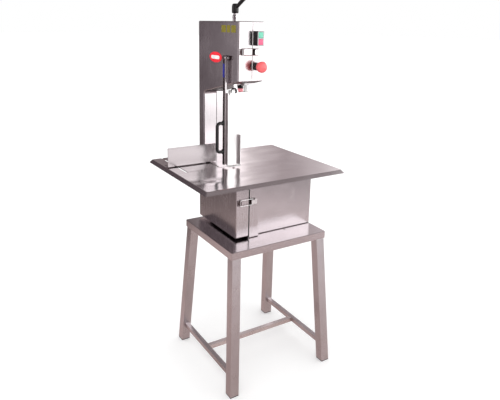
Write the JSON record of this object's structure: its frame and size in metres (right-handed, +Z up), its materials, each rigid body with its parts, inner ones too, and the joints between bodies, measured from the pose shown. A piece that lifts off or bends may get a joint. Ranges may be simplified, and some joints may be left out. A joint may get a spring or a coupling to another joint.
{
  "type": "bone saw",
  "caption": "Floor-standing butcher's band saw for meat and bone: stainless C-shaped frame, flanged table with portion fence, hanging pusher and splayed-leg stand.",
  "frame": {"origin": "centre of the bounding box on the floor, under the feet", "axes": "+Z up, -Y towards the operator who faces the cutting edge of the band, +X to the operator's right, where the table overhangs"},
  "size_m": [0.526, 0.6145, 1.4893],
  "materials": {
    "stainless": "satin",
    "polished": "polished",
    "chrome": "polished",
    "cast": "machined",
    "black_plastic": "satin",
    "rubber": "matte",
    "motor_paint": "satin",
    "red_plastic": "gloss",
    "green_plastic": "gloss",
    "white_plastic": "satin"
  },
  "bodies": {
    "frame": {"stand_tray": "stainless", "stretcher_front": "stainless", "stretcher_back": "stainless", "stretcher_middle": "stainless", "base_body": "stainless", "column_body": "stainless", "head_body": "stainless", "motor_box": "stainless", "motor": "motor_paint", "lower_bearing": "cast", "carriage_guide": "stainless", "tension_bush": "chrome", "table_top": "polished", "blade_insert": "white_plastic", "blade": "polished", "hinge_low_fixed": "polished", "hinge_high_fixed": "polished", "latch_upper_base": "polished", "latch_lower_base": "polished", "switch_box": "black_plastic", "estop_base": "black_plastic", "leg_front_left": "stainless", "leg_front_right": "stainless", "leg_back_left": "stainless", "leg_back_right": "stainless", "foot_front_left": "rubber", "foot_front_right": "rubber", "foot_back_left": "rubber", "foot_back_right": "rubber"},
    "drive": {"drive_shaft": "stainless", "lower_wheel": "cast"},
    "carriage": {"wheel_carriage": "cast"},
    "upper_wheel_body": {"upper_wheel": "cast"},
    "tension": {"tension_screw": "chrome", "tension_handle": "black_plastic"},
    "guide": {"guide_post": "chrome", "guide_bracket": "stainless", "guide_hood": "black_plastic"},
    "roller": {"guide_roller": "stainless"},
    "guide_clamp": {"guide_knob": "black_plastic"},
    "fence_body": {"fence": "polished", "fence_slide_front": "black_plastic", "fence_slide_rear": "black_plastic"},
    "cover": {"upper_cover": "stainless", "pusher_bracket": "chrome", "latch_upper_keeper": "polished"},
    "pusher": {"pusher_arm": "stainless", "pusher_plate": "polished", "pusher_handle": "black_plastic"},
    "door": {"lower_door": "stainless", "hinge_low_leaf": "polished", "hinge_high_leaf": "polished", "latch_lower_keeper": "polished"},
    "upper_lever": {"latch_upper_lever": "polished"},
    "upper_bail": {"latch_upper_bail": "chrome"},
    "lower_lever": {"latch_lower_lever": "polished"},
    "lower_bail": {"latch_lower_bail": "chrome"},
    "start": {"start_button": "green_plastic"},
    "stop": {"stop_button": "red_plastic"},
    "emergency_stop": {"estop_button": "red_plastic"}
  },
  "joints": [
    {"name": "lower_wheel_spin", "type": "hinge", "parent": "frame", "child": "drive", "pos_m": [-0.09405, -0.0577, 0.728], "axis": [0, 1, 0], "continuous": true},
    {"name": "upper_wheel_spin", "type": "hinge", "parent": "carriage", "child": "upper_wheel_body", "pos_m": [-0.09405, -0.0577, 1.268], "axis": [0, 1, 0], "continuous": true},
    {"name": "tension_turn", "type": "hinge", "parent": "frame", "child": "tension", "pos_m": [-0.09405, 0.0023, 1.4], "axis": [0, 0, 1], "range_deg": [0, 360]},
    {"name": "carriage_slide", "type": "slide", "parent": "frame", "child": "carriage", "axis": [0, 0, 1], "range_m": [-0.004, 0]},
    {"name": "guide_slide", "type": "slide", "parent": "frame", "child": "guide", "axis": [0, 0, 1], "range_m": [-0.15, 0]},
    {"name": "guide_roller_spin", "type": "hinge", "parent": "guide", "child": "roller", "pos_m": [0.0147, -0.0389, 1.129], "axis": [1, 0, 0], "continuous": true},
    {"name": "guide_clamp_turn", "type": "hinge", "parent": "frame", "child": "guide_clamp", "pos_m": [-0.01405, -0.0182, 1.15], "axis": [0, 0, 1], "range_deg": [0, 270]},
    {"name": "fence_slide", "type": "slide", "parent": "frame", "child": "fence_body", "axis": [1, 0, 0], "range_m": [-0.05, 0.055]},
    {"name": "cover_pull", "type": "slide", "parent": "frame", "child": "cover", "axis": [0, -1, 0], "range_m": [0, 0.15]},
    {"name": "pusher_swing", "type": "hinge", "parent": "cover", "child": "pusher", "pos_m": [0.00995, -0.0952, 1.266], "axis": [-1, 0, 0], "range_deg": [0, 35]},
    {"name": "door_swing", "type": "hinge", "parent": "frame", "child": "door", "pos_m": [-0.23125, -0.0312, 0.7175], "axis": [0, 0, -1], "range_deg": [0, 100]},
    {"name": "upper_lever_turn", "type": "hinge", "parent": "frame", "child": "upper_lever", "pos_m": [0.08855, -0.0212, 1.289], "axis": [0, 0, -1], "range_deg": [0, 140]},
    {"name": "upper_bail_turn", "type": "hinge", "parent": "upper_lever", "child": "upper_bail", "pos_m": [0.08915, -0.0152, 1.289], "axis": [0, 0, -1], "range_deg": [-140, 0]},
    {"name": "lower_lever_turn", "type": "hinge", "parent": "frame", "child": "lower_lever", "pos_m": [0.08735, -0.0212, 0.731], "axis": [0, 0, -1], "range_deg": [0, 140]},
    {"name": "lower_bail_turn", "type": "hinge", "parent": "lower_lever", "child": "lower_bail", "pos_m": [0.08795, -0.0152, 0.731], "axis": [0, 0, -1], "range_deg": [-140, 0]},
    {"name": "start_press", "type": "slide", "parent": "frame", "child": "start", "axis": [-1, 0, 0], "range_m": [0, 0.0025], "stiffness_N_per_m": 500},
    {"name": "stop_press", "type": "slide", "parent": "frame", "child": "stop", "axis": [-1, 0, 0], "range_m": [0, 0.0025], "stiffness_N_per_m": 500},
    {"name": "estop_press", "type": "slide", "parent": "frame", "child": "emergency_stop", "axis": [-1, 0, 0], "range_m": [0, 0.005], "stiffness_N_per_m": 900}
  ],
  "couplings": [
    {"joint": "upper_wheel_spin", "follows": "lower_wheel_spin", "ratio": 1},
    {"joint": "tension_turn", "follows": "carriage_slide", "rad_per_m": -1570.8},
    {"joint": "upper_bail_turn", "follows": "upper_lever_turn", "ratio": -1},
    {"joint": "lower_bail_turn", "follows": "lower_lever_turn", "ratio": -1}
  ]
}
